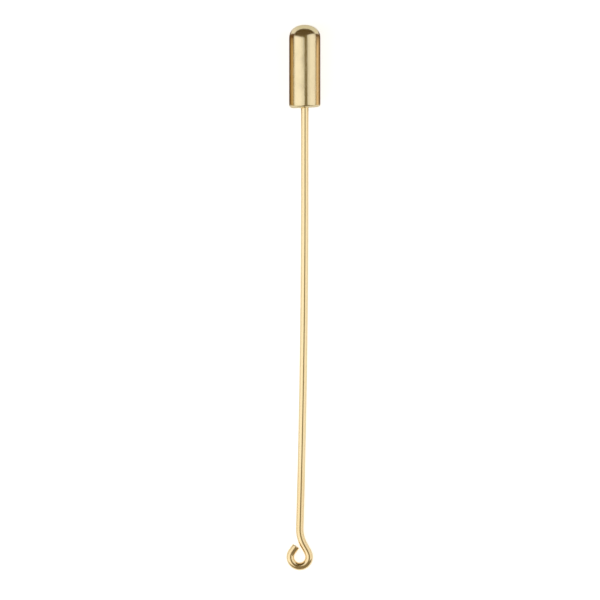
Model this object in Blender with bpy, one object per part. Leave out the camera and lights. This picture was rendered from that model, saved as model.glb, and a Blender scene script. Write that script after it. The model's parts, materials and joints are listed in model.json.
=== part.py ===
"""Lapel stick pin: a wire with a bent eye, and the push-on clutch that covers its point.

The pin lies on its side along Y, with the clutch at +Y and the eye at -Y. Every piece is drawn in the
pin's own frame, whose origin is the middle of the clutch's mouth and whose +Y runs into the dome.
"""

import math

import bmesh
import bpy
from mathutils import Vector

# Pin wire, in metres
WIRE_DIAMETER = 0.0012
PIN_LENGTH = 0.0825
POINT_TAPER = 0.0036
POINT_TIP_RADIUS = 0.00005
POINT_FULLNESS = 1.7
STRAIGHT_BELOW_CLUTCH = 0.012
BOW_ANGLE = math.radians(1.65)
NECK_ANGLE = math.radians(31)
NECK_BEND_RADIUS = 0.0051
NECK_STRAIGHT = 0.0009
SHOULDER_ANGLE = math.radians(10.5)
SHOULDER_BEND_RADIUS = 0.0036
EYE_BORE = 0.0017
EYE_CLOSING_ANGLE = math.radians(34)
TAIL_STRAIGHT = 0.00105

# Clutch shell
CLUTCH_DIAMETER = 0.0048
CLUTCH_LENGTH = 0.0128
DOME_HEIGHT = 0.0017
SHELL_WALL = 0.00025
LIP_WIDTH = 0.0008
MOUTH_CORNER_RADIUS = 0.00045
MOUTH_FILLET = 0.0002
LIP_EDGE_RADIUS = 0.00008
CROWN_CLEARANCE = 0.00125

# Guide washer
WASHER_THICKNESS = 0.0004
WASHER_BORE_CLEARANCE = 0.0001
FUNNEL_WIDTH = 0.00045
FUNNEL_DEPTH = 0.00026

# Grip sleeve
SLEEVE_WALL = 0.0002
SEAM_GAP = 0.0003
LOWER_BAND = 0.0019
UPPER_BAND = 0.003
TONGUE_WIDTH = 0.0012
TONGUE_TIP_WIDTH = 0.0008
TONGUE_LIP = 0.0005
LANCE_SLOT = 0.00015
ROOT_BEND = 0.0005
NIP_BEND = 0.0003
FLARE_ANGLE = math.radians(18)
TONGUES = 3

# Gaps between pieces that touch or run on each other
RUNNING_GAP = 0.00005
GRIP_GAP = 0.00003
MERGE_DISTANCE = 0.000001

# Facet counts
SHELL_SIDES = 64
WASHER_SIDES = 48
WIRE_BEVEL_RESOLUTION = 6
POINT_RINGS = 7
BOW_STEPS = 8
NECK_STEPS = 7
SHOULDER_STEPS = 3
EYE_STEPS = 28
DOME_STEPS = 9
CORNER_STEPS = 4
LAND_STEPS = 6
TONGUE_STEPS = 4
TONGUE_BEND_STEPS = 2
SLOPE_ROUNDS = 20

# What the sizes above lead to
wire_radius = WIRE_DIAMETER / 2
eye_radius = (EYE_BORE + WIRE_DIAMETER) / 2
eye_entry = NECK_ANGLE - SHOULDER_ANGLE
clutch_radius = CLUTCH_DIAMETER / 2
bore_radius = clutch_radius - SHELL_WALL
barrel_length = CLUTCH_LENGTH - DOME_HEIGHT
mouth_radius = clutch_radius - LIP_WIDTH
insertion = CLUTCH_LENGTH - SHELL_WALL - CROWN_CLEARANCE
washer_foot = SHELL_WALL + RUNNING_GAP
washer_top = washer_foot + WASHER_THICKNESS
sleeve_foot = washer_top + RUNNING_GAP
sleeve_top = barrel_length - RUNNING_GAP


def material(name, colour, roughness):
    """A bare metal with its own colour and roughness."""
    made = bpy.data.materials.new(name)
    made.use_nodes = True
    shader = made.node_tree.nodes["Principled BSDF"]
    shader.inputs["Base Color"].default_value = (*colour, 1)
    shader.inputs["Metallic"].default_value = 1
    shader.inputs["Roughness"].default_value = roughness
    return made


def add_object(name, data, metal, parent):
    data.materials.append(metal)
    made = bpy.data.objects.new(name, data)
    bpy.context.scene.collection.objects.link(made)
    made.parent = parent
    return made


def add_empty(name, parent=None):
    made = bpy.data.objects.new(name, None)
    bpy.context.scene.collection.objects.link(made)
    made.parent = parent
    return made


def smooth_mesh(name, shape):
    """Turns a bmesh into a mesh that is smooth across its round faces only."""
    mesh = bpy.data.meshes.new(name)
    shape.to_mesh(mesh)
    shape.free()
    mesh.shade_smooth()
    mesh.set_sharp_from_angle(angle=math.radians(32))
    return mesh


def arc(centre, radii, start, end, steps):
    """Points along an ellipse's quarter or part, from one angle in degrees to another."""
    points = []
    for step in range(steps + 1):
        angle = math.radians(start + (end - start) * step / steps)
        points.append((centre[0] + radii[0] * math.cos(angle), centre[1] + radii[1] * math.sin(angle)))
    return points


def turned(name, section, sides, ring):
    """Spins a section of (radius, height) points about the pin's axis. A ring's section closes on itself."""
    shape = bmesh.new()
    corners = [shape.verts.new((radius, height, 0)) for radius, height in section]
    edges = [shape.edges.new(pair) for pair in zip(corners, corners[1:])]
    if ring:
        edges.append(shape.edges.new((corners[-1], corners[0])))
    bmesh.ops.spin(
        shape,
        geom=corners + edges,
        cent=(0, 0, 0),
        axis=(0, 1, 0),
        angle=math.tau,
        steps=sides,
        use_merge=True,
    )
    bmesh.ops.remove_doubles(shape, verts=shape.verts, dist=MERGE_DISTANCE)
    bmesh.ops.recalc_face_normals(shape, faces=shape.faces)
    return smooth_mesh(name, shape)


class BentLine:
    """A line made the way wire or sheet is bent: run straight, bend, run straight. It sets out down -Y."""

    def __init__(self, start):
        self.place = Vector(start)
        self.heading = 0.0
        self.points = []

    def side(self):
        return Vector((math.cos(self.heading), math.sin(self.heading)))

    def run(self, length):
        self.place = self.place + length * Vector((math.sin(self.heading), -math.cos(self.heading)))
        self.points.append(self.place)

    def bend(self, radius, angle, steps):
        """Turns towards +X for a positive angle. Gives back the bend's centre."""
        reach = math.copysign(radius, angle)
        centre = self.place + reach * self.side()
        for _ in range(steps):
            self.heading += angle / steps
            self.place = centre - reach * self.side()
            self.points.append(self.place)
        return centre


def ground_point():
    """The point's rings as (place, radius), from its tip to the wire's full thickness."""
    rings = []
    for ring in range(POINT_RINGS + 1):
        share = ring / POINT_RINGS
        full = 1 - (1 - share) ** POINT_FULLNESS
        radius = POINT_TIP_RADIUS + (wire_radius - POINT_TIP_RADIUS) * full
        rings.append((Vector((0, insertion - POINT_TAPER * share)), radius))
    return rings


def neck_to_eye():
    """How far down the wire the middle of its eye lies, from the start of the neck's bend."""
    shoulder_drop = SHOULDER_BEND_RADIUS * (math.sin(NECK_ANGLE) - math.sin(eye_entry))
    return (
        NECK_BEND_RADIUS * math.sin(NECK_ANGLE)
        + NECK_STRAIGHT * math.cos(NECK_ANGLE)
        + shoulder_drop
        + eye_radius * math.sin(eye_entry)
    )


def bent_wire():
    """The wire's rings as (place, radius), from its point to its cut tail, and the middle of its eye."""
    rings = ground_point()
    line = BentLine(rings[-1][0])
    line.run(insertion - POINT_TAPER + STRAIGHT_BELOW_CLUTCH)
    bow_length = PIN_LENGTH - insertion - STRAIGHT_BELOW_CLUTCH - neck_to_eye() - eye_radius - wire_radius
    line.bend(bow_length / BOW_ANGLE, -BOW_ANGLE, BOW_STEPS)
    line.bend(NECK_BEND_RADIUS, NECK_ANGLE, NECK_STEPS)
    line.run(NECK_STRAIGHT)
    line.bend(SHOULDER_BEND_RADIUS, -SHOULDER_ANGLE, SHOULDER_STEPS)
    eye = line.bend(eye_radius, -(eye_entry + math.pi + EYE_CLOSING_ANGLE), EYE_STEPS)
    line.run(TAIL_STRAIGHT)
    return rings + [(place, wire_radius) for place in line.points], eye


def wire_curve(rings):
    curve = bpy.data.curves.new("pin_wire", "CURVE")
    curve.dimensions = "3D"
    curve.bevel_depth = wire_radius
    curve.bevel_resolution = WIRE_BEVEL_RESOLUTION
    curve.use_fill_caps = True
    spline = curve.splines.new("POLY")
    spline.points.add(len(rings) - 1)
    for target, (place, radius) in zip(spline.points, rings):
        target.co = (place.x, place.y, 0, 1)
        target.radius = radius / wire_radius
    spline.use_smooth = True
    return curve


def shell_section():
    """The cup's wall: down its outside, round the rolled-in lip, and up its inside."""
    lip_end = mouth_radius + LIP_EDGE_RADIUS
    return (
        arc((0, barrel_length), (clutch_radius, DOME_HEIGHT), 90, 0, DOME_STEPS)
        + arc(
            (clutch_radius - MOUTH_CORNER_RADIUS, MOUTH_CORNER_RADIUS),
            (MOUTH_CORNER_RADIUS, MOUTH_CORNER_RADIUS),
            0,
            -90,
            CORNER_STEPS,
        )
        + arc((lip_end, LIP_EDGE_RADIUS), (LIP_EDGE_RADIUS, LIP_EDGE_RADIUS), -90, -180, 2)
        + [(mouth_radius, SHELL_WALL)]
        + arc(
            (bore_radius - MOUTH_FILLET, SHELL_WALL + MOUTH_FILLET),
            (MOUTH_FILLET, MOUTH_FILLET),
            -90,
            0,
            CORNER_STEPS,
        )
        + arc((0, barrel_length), (bore_radius, DOME_HEIGHT - SHELL_WALL), 0, 90, DOME_STEPS)
    )


def washer_section():
    """A flat ring with a coined funnel that faces the mouth, chamfered to clear the shell's fillet."""
    rim = bore_radius - RUNNING_GAP
    bore = wire_radius + WASHER_BORE_CLEARANCE
    funnel = bore + FUNNEL_WIDTH
    return [
        (funnel, washer_foot),
        (rim - MOUTH_FILLET, washer_foot),
        (rim, washer_foot + MOUTH_FILLET),
        (rim, washer_top),
        (bore, washer_top),
    ] + arc((funnel, washer_foot + FUNNEL_DEPTH), (FUNNEL_WIDTH, FUNNEL_DEPTH), 180, 270, CORNER_STEPS)[:-1]


def sheet_columns(outer_radius):
    """The angles of the sleeve's columns from seam to seam, and the columns that each tongue spans."""
    window = math.asin((TONGUE_WIDTH / 2 + LANCE_SLOT) / outer_radius)
    tongue = math.asin(TONGUE_WIDTH / 2 / outer_radius)
    seam = math.asin(SEAM_GAP / 2 / outer_radius)
    angles = [seam]
    spans = []

    def reach(end, steps):
        start = angles[-1]
        angles.extend(start + (end - start) * step / steps for step in range(1, steps + 1))

    for index in range(TONGUES):
        centre = math.tau * (index + 0.5) / TONGUES
        reach(centre - window, LAND_STEPS if index else LAND_STEPS // 2)
        reach(centre - tongue, 1)
        spans.append((len(angles) - 1, centre))
        reach(centre + tongue, TONGUE_STEPS)
        reach(centre + window, 1)
    reach(math.tau - seam, LAND_STEPS // 2)
    return angles, spans


def tongue_line(drop, length):
    """A tongue's outer face as (drop towards the wire, -height above its root), row by row.

    The sheet bends in at the root, runs straight, and bends back at the wire into a flared lip. Its slope
    is the one at which the metal of the window just reaches the wire.
    """
    slope = 0.0
    for _ in range(SLOPE_ROUNDS):
        arm = length - TONGUE_LIP - ROOT_BEND * slope - NIP_BEND * (slope + FLARE_ANGLE)
        slope = math.asin((drop - (ROOT_BEND + NIP_BEND) * (1 - math.cos(slope))) / arm)
    line = BentLine((0, 0))
    line.bend(ROOT_BEND, slope, TONGUE_BEND_STEPS)
    line.run(arm)
    line.bend(NIP_BEND, -slope, TONGUE_BEND_STEPS)
    line.bend(NIP_BEND, -FLARE_ANGLE, TONGUE_BEND_STEPS)
    line.run(TONGUE_LIP)
    return line.points


def add_strip(shape, lower, upper):
    """Joins two rows of corners that run the same way round the sleeve."""
    for near, far, next_near, next_far in zip(lower, upper, lower[1:], upper[1:]):
        shape.faces.new((near, far, next_far, next_near))


def add_windowed_tube(shape, outer_radius, window_foot, window_top):
    """A slit tube with a window for each tongue. Gives back each window's lower corners and middle angle."""
    angles, spans = sheet_columns(outer_radius)
    rows = []
    for height in (sleeve_foot, window_foot, window_top, sleeve_top):
        rows.append([
            shape.verts.new((outer_radius * math.cos(angle), height, outer_radius * math.sin(angle)))
            for angle in angles
        ])
    add_strip(shape, rows[0], rows[1])
    add_strip(shape, rows[2], rows[3])
    roots = []
    land_start = 0
    for first, centre in spans:
        add_strip(shape, rows[1][land_start:first], rows[2][land_start:first])
        land_start = first + TONGUE_STEPS + 1
        roots.append((rows[1][first:land_start], centre))
    add_strip(shape, rows[1][land_start:], rows[2][land_start:])
    return roots


def add_tongue(shape, root, centre, outer_radius, line, length):
    """Grows a tongue from its root. It narrows towards its lip and keeps the curve of the tube."""
    outward = Vector((math.cos(centre), 0, math.sin(centre)))
    across = Vector((-math.sin(centre), 0, math.cos(centre)))
    foot = root[0].co.y
    below = root
    for inward, depth in line:
        half_width = (TONGUE_WIDTH - (TONGUE_TIP_WIDTH - TONGUE_WIDTH) * depth / length) / 2
        row = []
        for step in range(TONGUE_STEPS + 1):
            offset = half_width * (2 * step / TONGUE_STEPS - 1)
            radial = math.sqrt(outer_radius**2 - offset**2) - inward
            place = radial * outward + offset * across
            row.append(shape.verts.new((place.x, foot - depth, place.z)))
        add_strip(shape, below, row)
        below = row


def rolled_sleeve():
    """The grip sleeve, drawn as the outer face of its sheet and then thickened inwards."""
    outer_radius = bore_radius - RUNNING_GAP
    window_foot = sleeve_foot + LOWER_BAND
    window_top = sleeve_top - UPPER_BAND
    drop = outer_radius - SLEEVE_WALL - wire_radius - GRIP_GAP
    length = window_top - window_foot - LANCE_SLOT
    line = tongue_line(drop, length)
    shape = bmesh.new()
    for root, centre in add_windowed_tube(shape, outer_radius, window_foot, window_top):
        add_tongue(shape, root, centre, outer_radius, line, length)
    shape.normal_update()
    bmesh.ops.solidify(shape, geom=shape.faces[:], thickness=SLEEVE_WALL)
    return smooth_mesh("grip_sleeve", shape)


def lay_down(frame, eye):
    """Tips the pin's frame so that the shell's rim and the eye's far end both touch the ground.

    The rim's corner arc and the wire's section are both circles. The tilt brings their lowest points to
    the same height. The frame then moves so that the pin's box is centred on the ground's origin.
    """
    rim_drop = clutch_radius - MOUTH_CORNER_RADIUS
    span = -eye.y + eye_radius + MOUTH_CORNER_RADIUS
    step_down = (wire_radius - MOUTH_CORNER_RADIUS) / math.hypot(rim_drop, span)
    tilt = math.acos(step_down) - math.atan2(span, rim_drop)
    height = rim_drop * math.cos(tilt) + MOUTH_CORNER_RADIUS * (1 - math.sin(tilt))

    dome_reach = math.hypot(DOME_HEIGHT * math.cos(tilt), clutch_radius * math.sin(tilt))
    top = barrel_length * math.cos(tilt) + dome_reach
    bottom = (eye.y - eye_radius) * math.cos(tilt) - wire_radius
    left = min(-clutch_radius, eye.x - eye_radius - wire_radius)
    right = max(clutch_radius, eye.x + eye_radius + wire_radius)
    frame.location = (-(left + right) / 2, -(top + bottom) / 2, height)
    frame.rotation_euler = (tilt, 0, 0)


def build_pin():
    for old in list(bpy.data.objects):
        bpy.data.objects.remove(old, do_unlink=True)

    gilt_wire = material("gilt_wire", (0.76, 0.57, 0.27), 0.22)
    shell_brass = material("shell_brass", (0.70, 0.58, 0.34), 0.2)
    washer_brass = material("washer_brass", (0.62, 0.48, 0.25), 0.35)
    spring_brass = material("spring_brass", (0.66, 0.49, 0.24), 0.3)

    pin_frame = add_empty("pin_frame")
    clutch_axis = add_empty("clutch_axis", pin_frame)
    rings, eye = bent_wire()
    lay_down(pin_frame, eye)
    add_object("pin_wire", wire_curve(rings), gilt_wire, pin_frame)
    shell = turned("clutch_shell", shell_section(), SHELL_SIDES, ring=False)
    add_object("clutch_shell", shell, shell_brass, clutch_axis)
    washer = turned("guide_washer", washer_section(), WASHER_SIDES, ring=True)
    add_object("guide_washer", washer, washer_brass, clutch_axis)
    add_object("grip_sleeve", rolled_sleeve(), spring_brass, clutch_axis)


build_pin()
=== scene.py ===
import json
import math

import bmesh
import bpy
from mathutils import Matrix, Vector, noise


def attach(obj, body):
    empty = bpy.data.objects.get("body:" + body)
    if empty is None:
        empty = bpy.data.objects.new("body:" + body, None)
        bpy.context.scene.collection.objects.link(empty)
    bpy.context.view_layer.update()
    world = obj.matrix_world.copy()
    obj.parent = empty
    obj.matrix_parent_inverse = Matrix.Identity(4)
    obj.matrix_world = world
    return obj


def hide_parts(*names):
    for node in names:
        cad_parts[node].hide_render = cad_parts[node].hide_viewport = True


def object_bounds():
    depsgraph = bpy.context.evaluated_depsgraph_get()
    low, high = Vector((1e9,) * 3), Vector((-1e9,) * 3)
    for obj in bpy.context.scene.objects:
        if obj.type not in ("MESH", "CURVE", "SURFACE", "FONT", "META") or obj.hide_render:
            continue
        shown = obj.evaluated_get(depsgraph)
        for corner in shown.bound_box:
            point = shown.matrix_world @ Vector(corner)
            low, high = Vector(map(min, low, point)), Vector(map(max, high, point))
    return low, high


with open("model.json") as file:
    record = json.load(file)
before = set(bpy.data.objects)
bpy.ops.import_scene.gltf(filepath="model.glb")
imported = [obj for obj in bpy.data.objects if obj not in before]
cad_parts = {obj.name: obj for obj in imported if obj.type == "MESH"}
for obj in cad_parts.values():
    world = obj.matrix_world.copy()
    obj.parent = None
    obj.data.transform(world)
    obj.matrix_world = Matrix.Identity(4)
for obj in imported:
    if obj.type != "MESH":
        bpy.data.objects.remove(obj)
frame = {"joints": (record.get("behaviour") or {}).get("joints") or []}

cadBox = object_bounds()

# Every piece is drawn in the pin's own frame: its origin is the middle of the clutch's mouth, and
# +Y runs into the dome. The frame's joints say where that is.
turnJoint = next(joint for joint in frame["joints"] if joint["name"] == "clutch_turn")
mouthPlace = Vector(turnJoint["pos_m"])
pinTilt = math.atan2(turnJoint["axis"][2], turnJoint["axis"][1])
pinFrame = Matrix.Translation(mouthPlace) @ Matrix.Rotation(pinTilt, 4, "X")

# sizes that more than one piece follows, in metres
fit = {
    "wireRadius": 0.0006,
    "insertion": 0.0113,  # how far the point goes in past the mouth
    "shellRadius": 0.0024,
    "shellLength": 0.0128,
    "domeHeight": 0.0017,
    "wall": 0.00025,
    "runningGap": 0.00005,
    "mouthFillet": 0.0002,
    "washerThickness": 0.0004,
    "skin": 0.000001,  # rounder than the solid, so drawn this far inside it
}
boreRadius = fit["shellRadius"] - fit["wall"]
barrelLength = fit["shellLength"] - fit["domeHeight"]
washerTop = fit["wall"] + fit["runningGap"] + fit["washerThickness"]
mmPerMetre = 1000
sharpAngle = math.radians(40)  # edges that turn further than this stay crisp
mergeReach = 0.000001  # corners closer than this are one corner


def finishPiece(name, bm, material, body, slotName, *nodes):
    # puts the piece in its place, in its mesh, and on its body
    bmesh.ops.transform(bm, matrix=pinFrame, verts=bm.verts)
    mesh = bpy.data.meshes.new(name)
    bm.to_mesh(mesh)
    bm.free()
    mesh.shade_smooth()
    mesh.set_sharp_from_angle(angle=sharpAngle)
    mesh.materials.append(material)
    piece = bpy.data.objects.new(name, mesh)
    bpy.context.scene.collection.objects.link(piece)
    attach(piece, body)
    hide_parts(*nodes)
    print("made", name, len(mesh.polygons), "faces")


# shader helpers

def setSocket(tree, socket, value):
    # joins the socket to another one, or gives it a fixed value
    if isinstance(value, bpy.types.NodeSocket):
        tree.links.new(value, socket)
    else:
        socket.default_value = value


def addNode(tree, kind, inputs=None, **options):
    node = tree.nodes.new(kind)
    for option, value in options.items():
        setattr(node, option, value)
    for socket, value in (inputs or {}).items():
        setSocket(tree, node.inputs[socket], value)
    return node


def doMath(tree, operation, first, second=0.0):
    return addNode(tree, "ShaderNodeMath", {0: first, 1: second}, operation=operation).outputs[0]


def rampBetween(tree, value, low, high, start=0.0, end=1.0):
    inputs = {"Value": value, "From Min": low, "From Max": high, "To Min": start, "To Max": end}
    ramp = addNode(tree, "ShaderNodeMapRange", inputs, interpolation_type="SMOOTHSTEP")
    return ramp.outputs["Result"]


def mixColours(tree, share, first, second):
    # inputs 6 and 7 and output 2 are the mix node's colour sockets
    node = addNode(tree, "ShaderNodeMix", {"Factor": share}, data_type="RGBA")
    for place, colour in ((6, first), (7, second)):
        setSocket(tree, node.inputs[place], (*colour, 1) if isinstance(colour, tuple) else colour)
    return node.outputs[2]


def heightAt(tree, place):
    return addNode(tree, "ShaderNodeSeparateXYZ", {0: place}).outputs["Y"]


def noiseAt(tree, place, scale, detail=2.0, roughness=0.5):
    inputs = {"Vector": place, "Scale": scale, "Detail": detail, "Roughness": roughness}
    return addNode(tree, "ShaderNodeTexNoise", inputs).outputs["Fac"]


def startGroup(name, inputs, outputs):
    group = bpy.data.node_groups.new(name, "ShaderNodeTree")
    for label, kind, value in inputs:
        socket = group.interface.new_socket(label, in_out="INPUT", socket_type=kind)
        if value is not None:
            socket.default_value = value
    for label in outputs:
        group.interface.new_socket(label, in_out="OUTPUT", socket_type="NodeSocketFloat")
    return group, group.nodes.new("NodeGroupInput"), group.nodes.new("NodeGroupOutput")


# What the marks on the metals look like. Noise shows as a mark between the two levels of a pair.
marking = {
    "lineDetail": 3.0,
    "lineRoughness": 0.6,
    "broadScale": 0.22,  # of the fine lines' scale
    "broadDetail": 1.0,
    "fineShare": 0.35,
    "streakLevels": (0.46, 0.7),
    "smudgeDetail": 4.0,
    "smudgeRoughness": 0.62,
    "smudgeLevels": (0.45, 0.68),
    "speckFrom": 0.84,  # only cells above this hold a speck, about one in six
    "filmDetail": 3.0,
    "filmRoughness": 0.55,
    "filmLow": 0.78,  # level that the film starts at with no cover
    "filmCover": 0.4,  # what full cover takes off that level
    "filmSoftness": 0.22,
    "bandDetail": 2.0,
    "linesLeft": 0.12,  # share of the drawn lines that is left on top of the dome
}


# lengthwise lines that drawing through a die leaves: noise stretched along Y
def makeDrawnLines():
    group, source, target = startGroup(
        "drawn lines",
        [
            ("Place", "NodeSocketVector", None),
            ("Lines per mm", "NodeSocketFloat", 9.0),
            ("Stretch", "NodeSocketFloat", 40.0),
        ],
        ["Height", "Streak"],
    )
    parts = addNode(group, "ShaderNodeSeparateXYZ", {0: source.outputs["Place"]})
    along = doMath(group, "DIVIDE", parts.outputs["Y"], source.outputs["Stretch"])
    place = addNode(group, "ShaderNodeCombineXYZ", {
        "X": parts.outputs["X"], "Y": along, "Z": parts.outputs["Z"],
    }).outputs[0]
    fineScale = source.outputs["Lines per mm"]
    fine = noiseAt(group, place, fineScale, marking["lineDetail"], marking["lineRoughness"])
    broadScale = doMath(group, "MULTIPLY", fineScale, marking["broadScale"])
    broad = noiseAt(group, place, broadScale, marking["broadDetail"])
    height = doMath(group, "ADD", doMath(group, "MULTIPLY", fine, marking["fineShare"]), broad)
    group.links.new(height, target.inputs["Height"])
    group.links.new(rampBetween(group, fine, *marking["streakLevels"]), target.inputs["Streak"])
    return group


# what handling leaves: cloudy smudges, and a few sunk specks
def makeHandling():
    group, source, target = startGroup(
        "handling marks",
        [
            ("Place", "NodeSocketVector", None),
            ("Smudges per mm", "NodeSocketFloat", 0.6),
            ("Specks per mm", "NodeSocketFloat", 1.3),
            ("Speck Size", "NodeSocketFloat", 0.09),
        ],
        ["Smudge", "Speck"],
    )
    place = source.outputs["Place"]
    smudgeScale = source.outputs["Smudges per mm"]
    cloud = noiseAt(group, place, smudgeScale, marking["smudgeDetail"], marking["smudgeRoughness"])
    group.links.new(rampBetween(group, cloud, *marking["smudgeLevels"]), target.inputs["Smudge"])
    cells = addNode(group, "ShaderNodeTexVoronoi", {
        "Vector": place, "Scale": source.outputs["Specks per mm"],
    })
    spot = rampBetween(group, cells.outputs["Distance"], source.outputs["Speck Size"], 0.0)
    parts = addNode(group, "ShaderNodeSeparateColor", {0: cells.outputs["Color"]})
    chosen = doMath(group, "GREATER_THAN", parts.outputs[0], marking["speckFrom"])
    group.links.new(doMath(group, "MULTIPLY", spot, chosen), target.inputs["Speck"])
    return group


# thin film of tarnish, in broad clouds
def makeTarnish():
    group, source, target = startGroup(
        "tarnish film",
        [
            ("Place", "NodeSocketVector", None),
            ("Clouds per mm", "NodeSocketFloat", 0.25),
            ("Cover", "NodeSocketFloat", 0.5),
        ],
        ["Mask"],
    )
    cloud = noiseAt(
        group, source.outputs["Place"], source.outputs["Clouds per mm"],
        marking["filmDetail"], marking["filmRoughness"],
    )
    cover = doMath(group, "MULTIPLY", source.outputs["Cover"], marking["filmCover"])
    low = doMath(group, "SUBTRACT", marking["filmLow"], cover)
    high = doMath(group, "ADD", low, marking["filmSoftness"])
    group.links.new(rampBetween(group, cloud, low, high), target.inputs["Mask"])
    return group


drawnLines = makeDrawnLines()
handlingMarks = makeHandling()
tarnishFilm = makeTarnish()


def pinPlace(tree):
    # object coordinates turned into the pin's own frame, in mm
    coordinates = addNode(tree, "ShaderNodeTexCoord").outputs["Object"]
    return addNode(tree, "ShaderNodeMapping", {
        "Vector": coordinates, "Location": mouthPlace, "Rotation": (pinTilt, 0, 0),
        "Scale": (1 / mmPerMetre,) * 3,
    }, vector_type="TEXTURE").outputs[0]


def straightPlace(tree):
    # where each spot of the bent wire would be if the wire were straight, in mm
    return addNode(tree, "ShaderNodeAttribute", attribute_name="straight").outputs["Vector"]


def makeMetal(name, look, findPlace):
    material = bpy.data.materials.new(name)
    material.use_nodes = True
    tree = material.node_tree
    shader = tree.nodes["Principled BSDF"]
    shader.inputs["Metallic"].default_value = 1
    place = findPlace(tree)

    lines = addNode(tree, "ShaderNodeGroup", {
        "Place": place, "Lines per mm": look["linesPerMm"], "Stretch": look["stretch"],
    }, node_tree=drawnLines)
    marks = addNode(tree, "ShaderNodeGroup", {
        "Place": place, "Smudges per mm": look["smudgesPerMm"],
        "Specks per mm": look["specksPerMm"], "Speck Size": look["speckSize"],
    }, node_tree=handlingMarks)
    film = addNode(tree, "ShaderNodeGroup", {
        "Place": place, "Clouds per mm": look["cloudsPerMm"], "Cover": look["tarnishCover"],
    }, node_tree=tarnishFilm)

    streak, lineRelief = lines.outputs["Streak"], lines.outputs["Height"]
    if "linesFade" in look:
        # the drawn lines fade out over a pressed dome
        lineShare = rampBetween(
            tree, heightAt(tree, place), *look["linesFade"], 1.0, marking["linesLeft"]
        )
        streak = doMath(tree, "MULTIPLY", streak, lineShare)
        lineRelief = doMath(tree, "MULTIPLY", lineRelief, lineShare)

    filmAndShadeShare = doMath(tree, "MULTIPLY", film.outputs["Mask"], look["tarnishDepth"])
    if "darkBands" in look:
        # darker bands round the ends, with an uneven edge, mixed towards the tarnish colour; on the
        # shell the band at the dome is painted shade that darkens its rim
        cloud = noiseAt(tree, place, look["bandClouds"], marking["bandDetail"])
        wander = doMath(tree, "MULTIPLY", doMath(tree, "SUBTRACT", cloud, 0.5), look["bandWander"])
        height = doMath(tree, "ADD", heightAt(tree, place), wander)
        for low, high, depth in look["darkBands"]:
            band = rampBetween(tree, height, low, high, depth, 0.0)
            filmAndShadeShare = doMath(tree, "MAXIMUM", filmAndShadeShare, band)
    # the tarnish colour takes both the tarnish film and the darker bands, so on the shell's dome it
    # is painted shade
    colour = mixColours(tree, filmAndShadeShare, look["colour"], look["tarnish"])
    streakShare = doMath(tree, "MULTIPLY", streak, look["streakDepth"])
    colour = mixColours(tree, streakShare, colour, look["streak"])
    speckShare = doMath(tree, "MULTIPLY", marks.outputs["Speck"], look["speckDepth"])
    colour = mixColours(tree, speckShare, colour, look["speck"])

    roughness = doMath(tree, "MULTIPLY", marks.outputs["Smudge"], look["smudgeRoughness"])
    roughness = doMath(tree, "ADD", roughness, look["roughness"])
    lineRoughness = doMath(tree, "MULTIPLY", streak, look["streakRoughness"])
    roughness = doMath(tree, "ADD", roughness, lineRoughness)

    sunk = doMath(tree, "MULTIPLY", marks.outputs["Speck"], look["speckSink"])
    relief = doMath(tree, "SUBTRACT", lineRelief, sunk)
    bump = addNode(tree, "ShaderNodeBump", {
        "Strength": 1.0, "Distance": look["lineHeight"], "Height": relief,
    })
    tree.links.new(colour, shader.inputs["Base Color"])
    tree.links.new(roughness, shader.inputs["Roughness"])
    tree.links.new(bump.outputs[0], shader.inputs["Normal"])
    return material


# A darker band is given as the height where it is full, the height where it ends, and its depth.
# Heights are in mm along the pin. The drawn lines fade between the two heights of linesFade.
giltLook = {
    "colour": (0.98, 0.82, 0.52), "tarnish": (0.86, 0.64, 0.33), "streak": (0.99, 0.86, 0.58),
    "speck": (0.3, 0.16, 0.05), "roughness": 0.12, "linesPerMm": 16.0, "stretch": 60.0,
    "smudgesPerMm": 0.7, "specksPerMm": 1.1, "speckSize": 0.07, "cloudsPerMm": 0.18,
    "tarnishCover": 0.4, "tarnishDepth": 0.6, "streakDepth": 0.3, "speckDepth": 0.75,
    "smudgeRoughness": 0.05, "streakRoughness": 0.03, "speckSink": 2.0, "lineHeight": 0.0000006,
    "darkBands": [(-69.0, -65.5, 0.35)], "bandClouds": 0.4, "bandWander": 1.5,
}
shellLook = {
    "colour": (0.89, 0.78, 0.53), "tarnish": (0.68, 0.6, 0.34), "streak": (0.92, 0.83, 0.6),
    "speck": (0.4, 0.27, 0.12), "roughness": 0.18, "linesPerMm": 7.0, "stretch": 45.0,
    "smudgesPerMm": 0.5, "specksPerMm": 0.8, "speckSize": 0.09, "cloudsPerMm": 0.2,
    "tarnishCover": 0.45, "tarnishDepth": 0.3, "streakDepth": 0.35, "speckDepth": 0.7,
    "smudgeRoughness": 0.08, "streakRoughness": 0.04, "speckSink": 2.0, "lineHeight": 0.000001,
    # the band at the dome's end is painted shade; the band at the mouth is only darker
    "darkBands": [(0.1, 0.8, 0.5), (12.5, 11.2, 0.85)], "bandClouds": 0.45, "bandWander": 1.6,
    "linesFade": (10.8, 12.2),
}
washerLook = {
    "colour": (0.72, 0.58, 0.33), "tarnish": (0.5, 0.34, 0.15), "streak": (0.78, 0.65, 0.4),
    "speck": (0.25, 0.15, 0.06), "roughness": 0.26, "linesPerMm": 12.0, "stretch": 1.0,
    "smudgesPerMm": 1.2, "specksPerMm": 2.2, "speckSize": 0.11, "cloudsPerMm": 0.6,
    "tarnishCover": 0.7, "tarnishDepth": 0.7, "streakDepth": 0.3, "speckDepth": 0.7,
    "smudgeRoughness": 0.16, "streakRoughness": 0.08, "speckSink": 1.5, "lineHeight": 0.000002,
}
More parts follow.
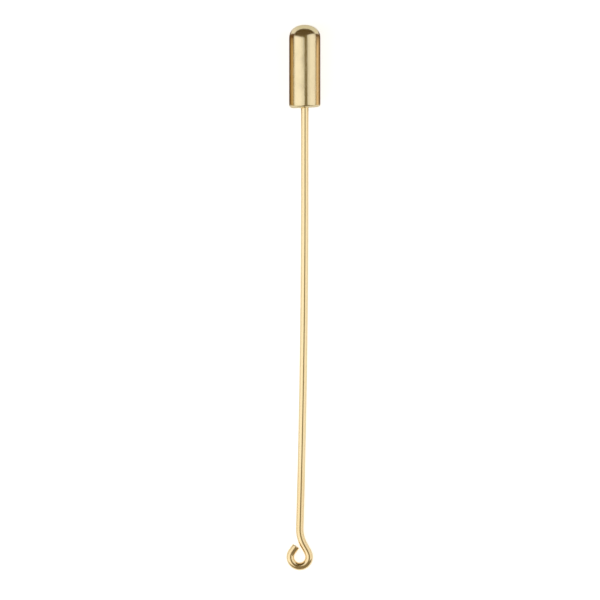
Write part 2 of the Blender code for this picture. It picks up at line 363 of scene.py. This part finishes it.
springLook = {
    "colour": (0.74, 0.57, 0.3), "tarnish": (0.55, 0.36, 0.15), "streak": (0.8, 0.66, 0.4),
    "speck": (0.25, 0.15, 0.06), "roughness": 0.2, "linesPerMm": 14.0, "stretch": 30.0,
    "smudgesPerMm": 0.9, "specksPerMm": 1.6, "speckSize": 0.09, "cloudsPerMm": 0.5,
    "tarnishCover": 0.6, "tarnishDepth": 0.6, "streakDepth": 0.35, "speckDepth": 0.7,
    "smudgeRoughness": 0.14, "streakRoughness": 0.08, "speckSink": 1.5, "lineHeight": 0.0000015,
}
giltWire = makeMetal("gilt wire", giltLook, straightPlace)
shellBrass = makeMetal("shell brass", shellLook, pinPlace)
washerBrass = makeMetal("washer brass", washerLook, pinPlace)
springBrass = makeMetal("spring brass", springLook, pinPlace)
print("made the metals")


# The wire is made the way it is bent: a ring of corners is pushed along its straights and spun
# round the middle of each bend. It sets out down -Y from its point.
wire = {
    "sides": 48,
    "tipRadius": 0.00004,
    "taper": 0.0036,
    "fullness": 1.7,
    "pointRings": 26,
    "straight": 0.012,  # below the clutch
    "straightSteps": 24,
    "bowAngle": math.radians(1.65),
    "bowSteps": 48,
    "neckAngle": math.radians(31),
    "neckRadius": 0.0051,
    "neckSteps": 20,
    "neckStraight": 0.0009,
    "neckStraightSteps": 3,
    "shoulderAngle": math.radians(10.5),
    "shoulderRadius": 0.0036,
    "shoulderSteps": 8,
    "eyeBore": 0.0017,
    "eyeClosing": math.radians(34),
    "eyeSteps": 96,
    "tail": 0.00105,
    "tailSteps": 4,
    "length": 0.0825,
    "cutEdge": 0.00005,
    "cutSegments": 3,
}


class WireBender:
    def __init__(self, bm, start):
        self.bm = bm
        self.place = Vector(start)
        self.heading = 0.0
        self.run = 0.0
        self.layer = bm.verts.layers.float_vector.new("straight")
        made = bmesh.ops.create_circle(bm, segments=wire["sides"], radius=wire["tipRadius"])
        ring = made["verts"]
        facing = Matrix.Rotation(math.pi / 2, 3, "X")
        bmesh.ops.rotate(bm, verts=ring, cent=(0, 0, 0), matrix=facing)
        bmesh.ops.translate(bm, verts=ring, vec=self.place)
        self.edges = [edge for edge in bm.edges]
        bmesh.ops.edgeloop_fill(bm, edges=self.edges)
        self.markRing()

    def ringVerts(self):
        return list({vert for edge in self.edges for vert in edge.verts})

    def aim(self):
        return Vector((math.sin(self.heading), -math.cos(self.heading), 0))

    def side(self):
        return Vector((math.cos(self.heading), math.sin(self.heading), 0))

    def markRing(self):
        # keeps where the ring's corners would be on a straight wire, in mm
        for vert in self.ringVerts():
            offset = vert.co - self.place
            across = offset.dot(self.side())
            vert[self.layer] = Vector((across, -self.run, offset.z)) * mmPerMetre

    def push(self, length, steps=1, radius=None):
        for _ in range(steps):
            grown = bmesh.ops.extrude_edge_only(self.bm, edges=self.edges)["geom"]
            self.edges = [
                item for item in grown if isinstance(item, bmesh.types.BMEdge) and item.is_boundary
            ]
            bmesh.ops.translate(self.bm, verts=self.ringVerts(), vec=self.aim() * length / steps)
            self.place += self.aim() * length / steps
            self.run += length / steps
            if radius:
                now = max((vert.co - self.place).length for vert in self.ringVerts())
                matrix = Matrix.Translation(self.place) @ Matrix.Scale(radius / now, 4)
                matrix = matrix @ Matrix.Translation(-self.place)
                bmesh.ops.transform(self.bm, matrix=matrix, verts=self.ringVerts())
            self.markRing()

    def bend(self, radius, angle, steps):
        centre = self.place + self.side() * math.copysign(radius, angle)
        for _ in range(steps):
            turned = bmesh.ops.spin(
                self.bm, geom=self.ringVerts() + self.edges, cent=centre, axis=(0, 0, 1),
                angle=angle / steps, steps=1, use_merge=False, use_duplicate=False,
            )
            self.edges = [
                item for item in turned["geom_last"] if isinstance(item, bmesh.types.BMEdge)
            ]
            self.heading += angle / steps
            self.place = centre - self.side() * math.copysign(radius, angle)
            self.run += radius * abs(angle) / steps
            self.markRing()


def findNeckToEye(eyeRadius):
    # how far down the wire the middle of its eye lies, from the start of the neck
    neck = wire["neckAngle"]
    entry = neck - wire["shoulderAngle"]
    drop = wire["neckRadius"] * math.sin(neck) + wire["neckStraight"] * math.cos(neck)
    drop += wire["shoulderRadius"] * (math.sin(neck) - math.sin(entry))
    return drop + eyeRadius * math.sin(entry)


def makeWire():
    radius = fit["wireRadius"]
    eyeRadius = wire["eyeBore"] / 2 + radius
    bm = bmesh.new()
    bender = WireBender(bm, (0, fit["insertion"], 0))
    for ring in range(1, wire["pointRings"] + 1):
        full = 1 - (1 - ring / wire["pointRings"]) ** wire["fullness"]
        wanted = wire["tipRadius"] + (radius - wire["tipRadius"]) * full
        bender.push(wire["taper"] / wire["pointRings"], 1, wanted)
    bender.push(fit["insertion"] - wire["taper"] + wire["straight"], wire["straightSteps"])
    belowClutch = wire["length"] - fit["insertion"]
    bowLength = belowClutch - wire["straight"] - findNeckToEye(eyeRadius) - eyeRadius - radius
    bender.bend(bowLength / wire["bowAngle"], -wire["bowAngle"], wire["bowSteps"])
    bender.bend(wire["neckRadius"], wire["neckAngle"], wire["neckSteps"])
    bender.push(wire["neckStraight"], wire["neckStraightSteps"])
    bender.bend(wire["shoulderRadius"], -wire["shoulderAngle"], wire["shoulderSteps"])
    entry = wire["neckAngle"] - wire["shoulderAngle"]
    bender.bend(eyeRadius, -(entry + math.pi + wire["eyeClosing"]), wire["eyeSteps"])
    bender.push(wire["tail"], wire["tailSteps"])
    cut = bmesh.ops.edgeloop_fill(bm, edges=bender.edges)["faces"]
    bmesh.ops.bevel(
        bm, geom=list(cut[0].edges), offset=wire["cutEdge"], segments=wire["cutSegments"],
        profile=0.5, affect="EDGES", material=-1, offset_type="OFFSET",
    )
    bmesh.ops.recalc_face_normals(bm, faces=bm.faces)
    finishPiece("bentWire", bm, giltWire, "pin", "gilt_wire", "pin_wire")


# A turned piece is a section of (radius, height) points spun about the pin's axis.
def arcPoints(centre, radii, start, end, steps):
    points = []
    for step in range(steps + 1):
        angle = math.radians(start + (end - start) * step / steps)
        points.append((
            centre[0] + radii[0] * math.cos(angle), centre[1] + radii[1] * math.sin(angle)
        ))
    return points


def domePoints(start, radius, rise, fullness, steps):
    # from the top of the dome down to where it meets the barrel
    points = []
    for step in range(steps + 1):
        angle = math.radians(90 - 90 * step / steps)
        across = max(math.cos(angle), 0) ** (2 / fullness)
        points.append((radius * across, start + rise * math.sin(angle) ** (2 / fullness)))
    return points


def spinSection(section, sides, closed):
    bm = bmesh.new()
    corners = [bm.verts.new((radius, height, 0)) for radius, height in section]
    edges = [bm.edges.new(pair) for pair in zip(corners, corners[1:])]
    if closed:
        edges.append(bm.edges.new((corners[-1], corners[0])))
    bmesh.ops.spin(
        bm, geom=corners + edges, cent=(0, 0, 0), axis=(0, 1, 0), angle=math.tau, steps=sides,
        use_merge=True,
    )
    bmesh.ops.remove_doubles(bm, verts=bm.verts, dist=mergeReach)
    bmesh.ops.recalc_face_normals(bm, faces=bm.faces)
    return bm


shell = {
    "sides": 160,
    "lipWidth": 0.0008,
    "mouthCorner": (0.00058, 0.00045),  # a little rounder than the solid's, as the photo shows
    "cornerSteps": 10,
    "lipEdge": 0.00008,
    "lipSteps": 4,
    "domeSteps": 26,
    "domeRise": 0.00198,  # the drawn dome starts a little lower than the solid's, and fuller
    "domeFullness": 2.12,
    "domeSkin": 0.000003,
    "domeSlant": 0.00017,  # how much lower it starts on the left, as the press left it
    "slantReach": 0.0006,
    "mouthRise": (-0.00004, 0.00013),  # on the left and right: the rim wasn't rolled quite square
    "mouthReach": 0.00045,
    "lipDepth": 0.9,  # share of the wall's thickness that rises with the rim, inside the bore
    "barrelSteps": 60,
    "waveDepth": 0.000006,
    "waveSpan": 0.0021,
}


def makeShell():
    radius = fit["shellRadius"]
    cornerAcross, cornerUp = shell["mouthCorner"]
    fillet = fit["mouthFillet"]
    edge = shell["lipEdge"]
    lipRadius = radius - shell["lipWidth"]
    domeStart = fit["shellLength"] - shell["domeRise"]
    outside = [
        (radius, domeStart + (cornerUp - domeStart) * step / shell["barrelSteps"])
        for step in range(1, shell["barrelSteps"])
    ]
    inside = [
        (boreRadius, height) for _, height in reversed(outside)
        if fit["wall"] + fillet < height < barrelLength
    ]
    cornerSteps, domeSteps = shell["cornerSteps"], shell["domeSteps"]
    cornerMiddle = (radius - cornerAcross, cornerUp)
    filletMiddle = (boreRadius - fillet, fit["wall"] + fillet)
    outerRise = shell["domeRise"] - shell["domeSkin"]
    innerDome = (boreRadius, fit["domeHeight"] - fit["wall"])
    section = (
        domePoints(domeStart, radius, outerRise, shell["domeFullness"], domeSteps)
        + outside
        + arcPoints(cornerMiddle, (cornerAcross, cornerUp), 0, -90, cornerSteps)
        + arcPoints((lipRadius + edge, edge), (edge, edge), -90, -180, shell["lipSteps"])
        + [(lipRadius, fit["wall"])]
        + arcPoints(filletMiddle, (fillet, fillet), -90, 0, cornerSteps)
        + inside
        + arcPoints((0, barrelLength), innerDome, 0, 90, domeSteps)
    )
    bm = spinSection(section, shell["sides"], closed=False)
    # A drawn cup is never quite round: its wall wanders in by a few thousandths of a millimetre,
    # its dome starts on a slant, and its rim rises from left to right.
    for vert in bm.verts:
        share = 0.5 + 0.5 * noise.noise(vert.co / shell["waveSpan"])
        reach = math.hypot(vert.co.x, vert.co.z)
        if reach > shell["waveDepth"]:
            inward = 1 - (fit["skin"] + shell["waveDepth"] * share) / reach
            vert.co.x *= inward
            vert.co.z *= inward
        vert.co.y *= 1 - fit["skin"] / fit["shellLength"]
        slant = math.exp(-((vert.co.y - domeStart) / shell["slantReach"]) ** 2) * shell["domeSlant"]
        if reach > boreRadius / 2:
            vert.co.y -= slant * (0.5 - 0.5 * vert.co.x / reach)
        onOutside = reach > boreRadius + shell["waveDepth"]
        if onOutside or vert.co.y < fit["wall"] * shell["lipDepth"]:
            low, high = shell["mouthRise"]
            rise = low + (high - low) * (0.5 + 0.5 * vert.co.x / reach)
            vert.co.y += rise * math.exp(-((vert.co.y / shell["mouthReach"]) ** 2))
    finishPiece("bulletShell", bm, shellBrass, "clutch", "shell_brass", "clutch_shell")


washer = {
    "sides": 120,
    "boreClearance": 0.0001,
    "funnelWidth": 0.00045,
    "funnelDepth": 0.00026,
    "funnelSteps": 12,
    "edge": 0.00004,
    "edgeSteps": 4,
}


def makeWasher():
    foot = fit["wall"] + fit["runningGap"]
    rim = boreRadius - fit["runningGap"]
    bore = fit["wireRadius"] + washer["boreClearance"]
    width, depth = washer["funnelWidth"], washer["funnelDepth"]
    edge = washer["edge"]
    upper = washerTop - edge
    section = (
        [(rim - fit["mouthFillet"], foot), (rim, foot + fit["mouthFillet"])]
        + arcPoints((rim - edge, upper), (edge, edge), 0, 90, washer["edgeSteps"])
        + arcPoints((bore + edge, upper), (edge, edge), 90, 180, washer["edgeSteps"])
        + arcPoints((bore + width, foot + depth), (width, depth), 180, 270, washer["funnelSteps"])
    )
    bm = spinSection(section, washer["sides"], closed=True)
    finishPiece("funnelWasher", bm, washerBrass, "clutch", "washer_brass", "guide_washer")


sleeve = {
    "columns": 120,
    "rows": 12,
    "wall": 0.0002,
    "seamGap": 0.0003,
    "lowerBand": 0.0019,
    "upperBand": 0.003,
    "tongues": 3,
    "tongueWidth": 0.0012,
    "tongueTip": 0.0008,
    "tongueLip": 0.0005,
    "lanceSlot": 0.00015,
    "rootBend": 0.0005,
    "nipBend": 0.0003,
    "flare": math.radians(18),
    "gripGap": 0.00003,
    "slopeTries": 20,
    "rootSteps": 5,
    "armSteps": 14,
    "nipSteps": 4,
    "lipSteps": 3,
    "cutReach": 0.0000005,  # a cut joins corners that are closer to it than this
    "edge": 0.00002,
    "edgeSegments": 2,
    "squareAngle": math.radians(60),  # corners that turn further than this get a rounded edge
}


def findTongueRows(drop, length):
    # Rows of (drop towards the wire, rise above the root). The tongue bends in at its root, runs
    # straight, and bends back out at the wire. Each try brings the slope closer.
    lip, root, nip, flare = (sleeve[key] for key in ("tongueLip", "rootBend", "nipBend", "flare"))
    slope = 0.0
    for _ in range(sleeve["slopeTries"]):
        arm = length - lip - root * slope - nip * (slope + flare)
        slope = math.asin((drop - (root + nip) * (1 - math.cos(slope))) / arm)
    stretches = [
        (root * slope, slope, sleeve["rootSteps"]),
        (arm, 0, sleeve["armSteps"]),
        (nip * slope, -slope, sleeve["nipSteps"]),
        (nip * flare, -flare, sleeve["nipSteps"]),
        (lip, 0, sleeve["lipSteps"]),
    ]
    rows = []
    place = Vector((0, 0))
    heading = 0.0
    for reach, turn, steps in stretches:
        for _ in range(steps):
            heading += turn / steps / 2
            place = place + Vector((math.sin(heading), math.cos(heading))) * reach / steps
            heading += turn / steps / 2
            rows.append(place)
    return rows


def cutFlatSheet(outerRadius, foot, top, windowFoot, windowTop):
    # the sheet before it is rolled: X runs round the sleeve, with a window for each tongue
    def alongSheet(half):
        return outerRadius * math.asin(half / outerRadius)

    width = math.tau * outerRadius - 2 * alongSheet(sleeve["seamGap"] / 2)
    bm = bmesh.new()
    bmesh.ops.create_grid(bm, x_segments=sleeve["columns"], y_segments=sleeve["rows"], size=0.5)
    bmesh.ops.scale(bm, verts=bm.verts, vec=(width, top - foot, 1))
    bmesh.ops.translate(bm, verts=bm.verts, vec=(math.pi * outerRadius, (top + foot) / 2, 0))
    windowHalf = alongSheet(sleeve["tongueWidth"] / 2 + sleeve["lanceSlot"])
    tongueHalf = alongSheet(sleeve["tongueWidth"] / 2)
    tongues = sleeve["tongues"]
    middles = [math.tau * outerRadius * (index + 0.5) / tongues for index in range(tongues)]
    cuts = [
        ((middle + half, 0, 0), (1, 0, 0))
        for middle in middles for half in (-windowHalf, -tongueHalf, tongueHalf, windowHalf)
    ]
    cuts += [((0, height, 0), (0, 1, 0)) for height in (windowFoot, windowTop)]
    for place, normal in cuts:
        bmesh.ops.bisect_plane(
            bm, geom=bm.verts[:] + bm.edges[:] + bm.faces[:], dist=sleeve["cutReach"],
            plane_co=place, plane_no=normal,
        )
    opened = []
    for face in bm.faces:
        centre = face.calc_center_median()
        nearest = min(abs(centre.x - middle) for middle in middles)
        if windowFoot < centre.y < windowTop and nearest < windowHalf:
            opened.append(face)
    bmesh.ops.delete(bm, geom=opened, context="FACES")

    def onRoot(vert, middle):
        across = abs(vert.co.x - middle) < tongueHalf + mergeReach
        return across and abs(vert.co.y - windowFoot) < mergeReach

    roots = [
        [
            edge for edge in bm.edges
            if edge.is_boundary and all(onRoot(vert, middle) for vert in edge.verts)
        ]
        for middle in middles
    ]
    return bm, roots


def growTongue(bm, edges, outward, rows, length):
    across = Vector((-outward.z, 0, outward.x))
    place = Vector((0, 0))
    width = sleeve["tongueWidth"]
    for row in rows:
        grown = bmesh.ops.extrude_edge_only(bm, edges=edges)["geom"]
        fresh = {item for item in grown if isinstance(item, bmesh.types.BMVert)}
        edges = [
            item for item in grown
            if isinstance(item, bmesh.types.BMEdge) and all(vert in fresh for vert in item.verts)
        ]
        step = row - place
        taken = (sleeve["tongueTip"] - sleeve["tongueWidth"]) * row.y / length
        narrowed = sleeve["tongueWidth"] + taken
        move = Matrix.Translation(Vector((0, step.y, 0)) - outward * step.x)
        bmesh.ops.transform(
            bm, matrix=move @ Matrix.Scale(narrowed / width, 4, across), verts=list(fresh)
        )
        place = row
        width = narrowed


def makeSleeve():
    outerRadius = boreRadius - fit["runningGap"]
    foot = washerTop + fit["runningGap"]
    top = barrelLength - fit["runningGap"]
    windowFoot = foot + sleeve["lowerBand"]
    windowTop = top - sleeve["upperBand"]
    length = windowTop - windowFoot - sleeve["lanceSlot"]
    drop = outerRadius - sleeve["wall"] - fit["wireRadius"] - sleeve["gripGap"]
    rows = findTongueRows(drop, length)
    bm, roots = cutFlatSheet(outerRadius, foot, top, windowFoot, windowTop)
    for vert in bm.verts:
        angle = vert.co.x / outerRadius
        vert.co = (outerRadius * math.cos(angle), vert.co.y, outerRadius * math.sin(angle))
    bmesh.ops.reverse_faces(bm, faces=bm.faces)
    for index, edges in enumerate(roots):
        angle = math.tau * (index + 0.5) / sleeve["tongues"]
        growTongue(bm, edges, Vector((math.cos(angle), 0, math.sin(angle))), rows, length)
    bm.normal_update()
    bmesh.ops.solidify(bm, geom=bm.faces[:], thickness=sleeve["wall"])
    bm.normal_update()
    square = [
        edge for edge in bm.edges
        if edge.is_manifold and edge.calc_face_angle() > sleeve["squareAngle"]
    ]
    bmesh.ops.bevel(
        bm, geom=square, offset=sleeve["edge"], segments=sleeve["edgeSegments"], profile=0.5,
        affect="EDGES", material=-1,
    )
    finishPiece("gripSleeve", bm, springBrass, "grip", "spring_brass", "grip_sleeve")


makeWire()
makeShell()
makeWasher()
makeSleeve()


# The floor, lamps and camera. A white panel stands on each side, and the gap between them shows as
# the dark line along every round face. Past the panels' ends it is dark.
studio = {
    "floorSize": 3.0,
    "floorSquares": 8,
    "floorPaper": 0.9,
    "paperRoughness": 0.9,
    "fibresPerMetre": 900.0,
    "fibreDetail": 3.0,
    "fibreDepth": 0.01,
    "floorSeen": 0.8,  # glow that the camera sees in the paper
    "floorMirrored": 0.467,  # glow that the metal shows
    # painted shade and painted reflection in the floor beside the clutch, which only the metal
    # shows: a painted contact shadow close by, and painted reflections of neighbouring clutches
    # further out on the left and the right, and far out
    "shadeClose": (0.13, 0.065, 0.02),
    "shadeLeft": (0.56, 0.38, 0.155),
    "shadeRight": (0.86, 0.65, 0.42),
    "shadeFar": (0.5, 0.38, 0.2),
    "shadeTurn": (0.0045, 0.0115),  # where the close colour gives way to the others
    "turnShift": 0.001,  # how much nearer that is on the right
    "farTurn": (0.018, 0.034),  # where the far colour takes over
    "shadeReach": (0.1, 0.3),
    "shadeEnds": (-0.001, 0.0008),  # where the shade fades, past the clutch's ends
    "shadeSpread": (0.006, 0.45),  # from how far out it spreads past those ends, and its slope
    "shadeDusk": (-0.003, -0.0004),  # where the close colour takes over again, from the dome's end
    # strength of a painted contact shadow right round the clutch, which only the metal shows
    "contactShade": 0.35,
    "contactLoss": 0.6,  # how much of that goes past the dome, which leans away from the floor
    "contactReach": (0.001, 0.005),
    "domePlace": 0.04,
    "overhead": (0.185, 0.143, 0.06),
    "beyondDome": (0.12, 0.083, 0.038),
    "beyondEye": (0.25, 0.2, 0.125),
    "domeTurn": (0.0, 0.45),  # how the overhead colour gives way to the other two
    "eyeTurn": (0.0, -0.35),
    "lens": 280.0,
    "sensorWidth": 36.0,
    "clip": (0.01, 10.0),
    "pixelsPerMetre": 6505.0,
    "pictureWidth": 600,
    "clutchPixel": 304.73,  # across
    "pinEndPixels": (24.67, 571.1),  # down
}
# Each panel runs from its upper edge (x, z) to its foot, over a stretch of Y, and is then swung
# round the upright line where its upper edge passes the clutch's dome.
panels = {
    "left": {
        "upper": (0.0, 0.2), "foot": (-0.2, 0.022), "ends": (-0.21, 0.038),
        "swing": math.radians(-14.5), "level": 0.77,
    },
    "right": {
        "upper": (0.072, 0.2), "foot": (0.2, 0.012), "ends": (-0.105, 0.107),
        "swing": math.radians(10), "level": 0.66,
    },
}
# the middle of each panel is brighter: how far down its slope that starts and stops
panelCore = {"stretch": (0.3, 0.85), "level": 0.13, "lift": 0.003}


def findClutchShade(tree, place):
    # painted shade on the floor round the clutch, for the metal to show: how strong it is, and its
    # colour. Close by it is a painted contact shadow; further out it is a painted reflection of
    # neighbouring clutches
    parts = addNode(tree, "ShaderNodeSeparateXYZ", {0: place})
    offset = doMath(tree, "SUBTRACT", parts.outputs["X"], mouthPlace.x)
    across = doMath(tree, "ABSOLUTE", offset)
    onRight = doMath(tree, "GREATER_THAN", offset, 0.0)
    pastDome = doMath(tree, "SUBTRACT", parts.outputs["Y"], mouthPlace.y + fit["shellLength"])
    pastMouth = doMath(tree, "SUBTRACT", mouthPlace.y, parts.outputs["Y"])

    spreadStart, spreadSlope = studio["shadeSpread"]
    spread = doMath(tree, "MAXIMUM", doMath(tree, "SUBTRACT", across, spreadStart), 0.0)
    spread = doMath(tree, "MULTIPLY", spread, spreadSlope)
    pastEnd = doMath(tree, "MAXIMUM", pastDome, pastMouth)
    past = doMath(tree, "SUBTRACT", pastEnd, spread)
    shade = rampBetween(tree, past, *studio["shadeEnds"], 1.0, 0.0)
    reach = rampBetween(tree, across, *studio["shadeReach"], 1.0, 0.0)
    shade = doMath(tree, "MULTIPLY", shade, reach)

    beyond = doMath(tree, "MAXIMUM", pastEnd, 0.0)
    way = addNode(tree, "ShaderNodeCombineXYZ", {"X": across, "Y": beyond}).outputs[0]
    distance = addNode(tree, "ShaderNodeVectorMath", {0: way}, operation="LENGTH").outputs["Value"]
    contact = rampBetween(tree, distance, *studio["contactReach"], studio["contactShade"], 0.0)
    overDome = doMath(tree, "GREATER_THAN", pastDome, 0.0)
    loss = doMath(tree, "MULTIPLY", overDome, studio["contactLoss"])
    contact = doMath(tree, "MULTIPLY", contact, doMath(tree, "SUBTRACT", 1.0, loss))

    turnPlace = doMath(tree, "ADD", across, doMath(tree, "MULTIPLY", onRight, studio["turnShift"]))
    outwards = rampBetween(tree, turnPlace, *studio["shadeTurn"])
    beforeDusk = rampBetween(tree, pastDome, *studio["shadeDusk"], 1.0, 0.0)
    outwards = doMath(tree, "MULTIPLY", outwards, beforeDusk)
    further = mixColours(tree, onRight, studio["shadeLeft"], studio["shadeRight"])
    farShare = rampBetween(tree, across, *studio["farTurn"])
    further = mixColours(tree, farShare, further, studio["shadeFar"])
    colour = mixColours(tree, outwards, studio["shadeClose"], further)
    return doMath(tree, "MAXIMUM", shade, contact), colour


def makeFloor():
    bm = bmesh.new()
    squares = studio["floorSquares"]
    bmesh.ops.create_grid(bm, x_segments=squares, y_segments=squares, size=studio["floorSize"] / 2)
    mesh = bpy.data.meshes.new("floor")
    bm.to_mesh(mesh)
    bm.free()
    floor = bpy.data.objects.new("floor", mesh)
    bpy.context.scene.collection.objects.link(floor)
    material = bpy.data.materials.new("white paper")
    material.use_nodes = True
    tree = material.node_tree
    shader = tree.nodes["Principled BSDF"]
    coordinates = addNode(tree, "ShaderNodeTexCoord").outputs["Object"]
    fibre = noiseAt(tree, coordinates, studio["fibresPerMetre"], studio["fibreDetail"])
    paper, depth = studio["floorPaper"], studio["fibreDepth"]
    colour = mixColours(tree, fibre, (paper - depth,) * 3, (paper + depth,) * 3)
    shader.inputs["Roughness"].default_value = studio["paperRoughness"]
    shader.inputs["Specular IOR Level"].default_value = 0.0
    path = addNode(tree, "ShaderNodeLightPath")
    mirrored = doMath(
        tree, "MAXIMUM", path.outputs["Is Glossy Ray"], path.outputs["Is Transmission Ray"]
    )
    # painted shade and painted reflection: round the clutch the floor's colour and glow are
    # darkened for mirrored rays only, which the camera doesn't see
    shade, shadeColour = findClutchShade(tree, coordinates)
    shade = doMath(tree, "MULTIPLY", shade, mirrored)
    colour = mixColours(tree, shade, colour, shadeColour)
    tree.links.new(colour, shader.inputs["Base Color"])
    tree.links.new(colour, shader.inputs["Emission Color"])
    glow = doMath(tree, "MULTIPLY", mirrored, studio["floorMirrored"])
    seen = doMath(tree, "MULTIPLY", path.outputs["Is Camera Ray"], studio["floorSeen"])
    tree.links.new(doMath(tree, "ADD", glow, seen), shader.inputs["Emission Strength"])
    mesh.materials.append(material)


def makeWorld():
    world = bpy.data.worlds.new("studio")
    bpy.context.scene.world = world
    world.use_nodes = True
    tree = world.node_tree
    background = tree.nodes["Background"]
    way = addNode(tree, "ShaderNodeTexCoord").outputs["Generated"]
    along = addNode(tree, "ShaderNodeSeparateXYZ", {0: way}).outputs["Y"]
    towardsDome = rampBetween(tree, along, *studio["domeTurn"])
    towardsEye = rampBetween(tree, along, *studio["eyeTurn"])
    colour = mixColours(tree, towardsDome, studio["overhead"], studio["beyondDome"])
    colour = mixColours(tree, towardsEye, colour, studio["beyondEye"])
    path = addNode(tree, "ShaderNodeLightPath")
    colour = mixColours(tree, path.outputs["Is Camera Ray"], colour, (1.0, 1.0, 1.0))
    tree.links.new(colour, background.inputs["Color"])


def makeLamp(name, upper, foot, ends, swing, level):
    near = Vector((upper[0], ends[0], upper[1]))
    far = Vector((foot[0], ends[1], foot[1]))
    across = Vector((foot[0] - upper[0], 0, foot[1] - upper[1]))
    light = bpy.data.lights.new(name, "AREA")
    light.shape = "RECTANGLE"
    light.size = across.length
    light.size_y = ends[1] - ends[0]
    light.energy = level * math.pi * light.size * light.size_y
    lamp = bpy.data.objects.new(name, light)
    bpy.context.scene.collection.objects.link(lamp)
    lamp.visible_camera = False
    across.normalize()
    along = Vector((0, 1, 0))
    back = across.cross(along)
    if back.z < 0:
        back = -back
        along = -along
    turn = Matrix((across, along, back)).transposed().to_4x4()
    place = Matrix.Translation((near + far) / 2) @ turn
    post = Matrix.Translation((upper[0], studio["domePlace"], 0))
    lamp.matrix_world = post @ Matrix.Rotation(swing, 4, "Z") @ post.inverted() @ place


def makePanels():
    for name, panel in panels.items():
        upper, foot = Vector(panel["upper"]), Vector(panel["foot"])
        makeLamp(name + " panel", upper, foot, panel["ends"], panel["swing"], panel["level"])
        nearer = Vector((0, -panelCore["lift"]))
        high, low = (upper.lerp(foot, share) + nearer for share in panelCore["stretch"])
        makeLamp(name + " core", high, low, panel["ends"], panel["swing"], panelCore["level"])


def makeCamera():
    data = bpy.data.cameras.new("camera")
    data.sensor_width = studio["sensorWidth"]
    data.lens = studio["lens"]
    data.clip_start, data.clip_end = studio["clip"]
    camera = bpy.data.objects.new("camera", data)
    bpy.context.scene.collection.objects.link(camera)
    middle = studio["pictureWidth"] / 2
    width = studio["pictureWidth"] / studio["pixelsPerMetre"]
    across = mouthPlace.x - (studio["clutchPixel"] - middle) / studio["pixelsPerMetre"]
    down = sum(studio["pinEndPixels"]) / 2 - middle
    lengthwise = (cadBox[0][1] + cadBox[1][1]) / 2 + down / studio["pixelsPerMetre"]
    height = width * data.lens / data.sensor_width + mouthPlace.z
    camera.location = (across, lengthwise, height)
    bpy.context.scene.camera = camera


makeFloor()
makeWorld()
makePanels()
makeCamera()
bpy.context.scene.view_settings.view_transform = "Standard"
print("made the studio")
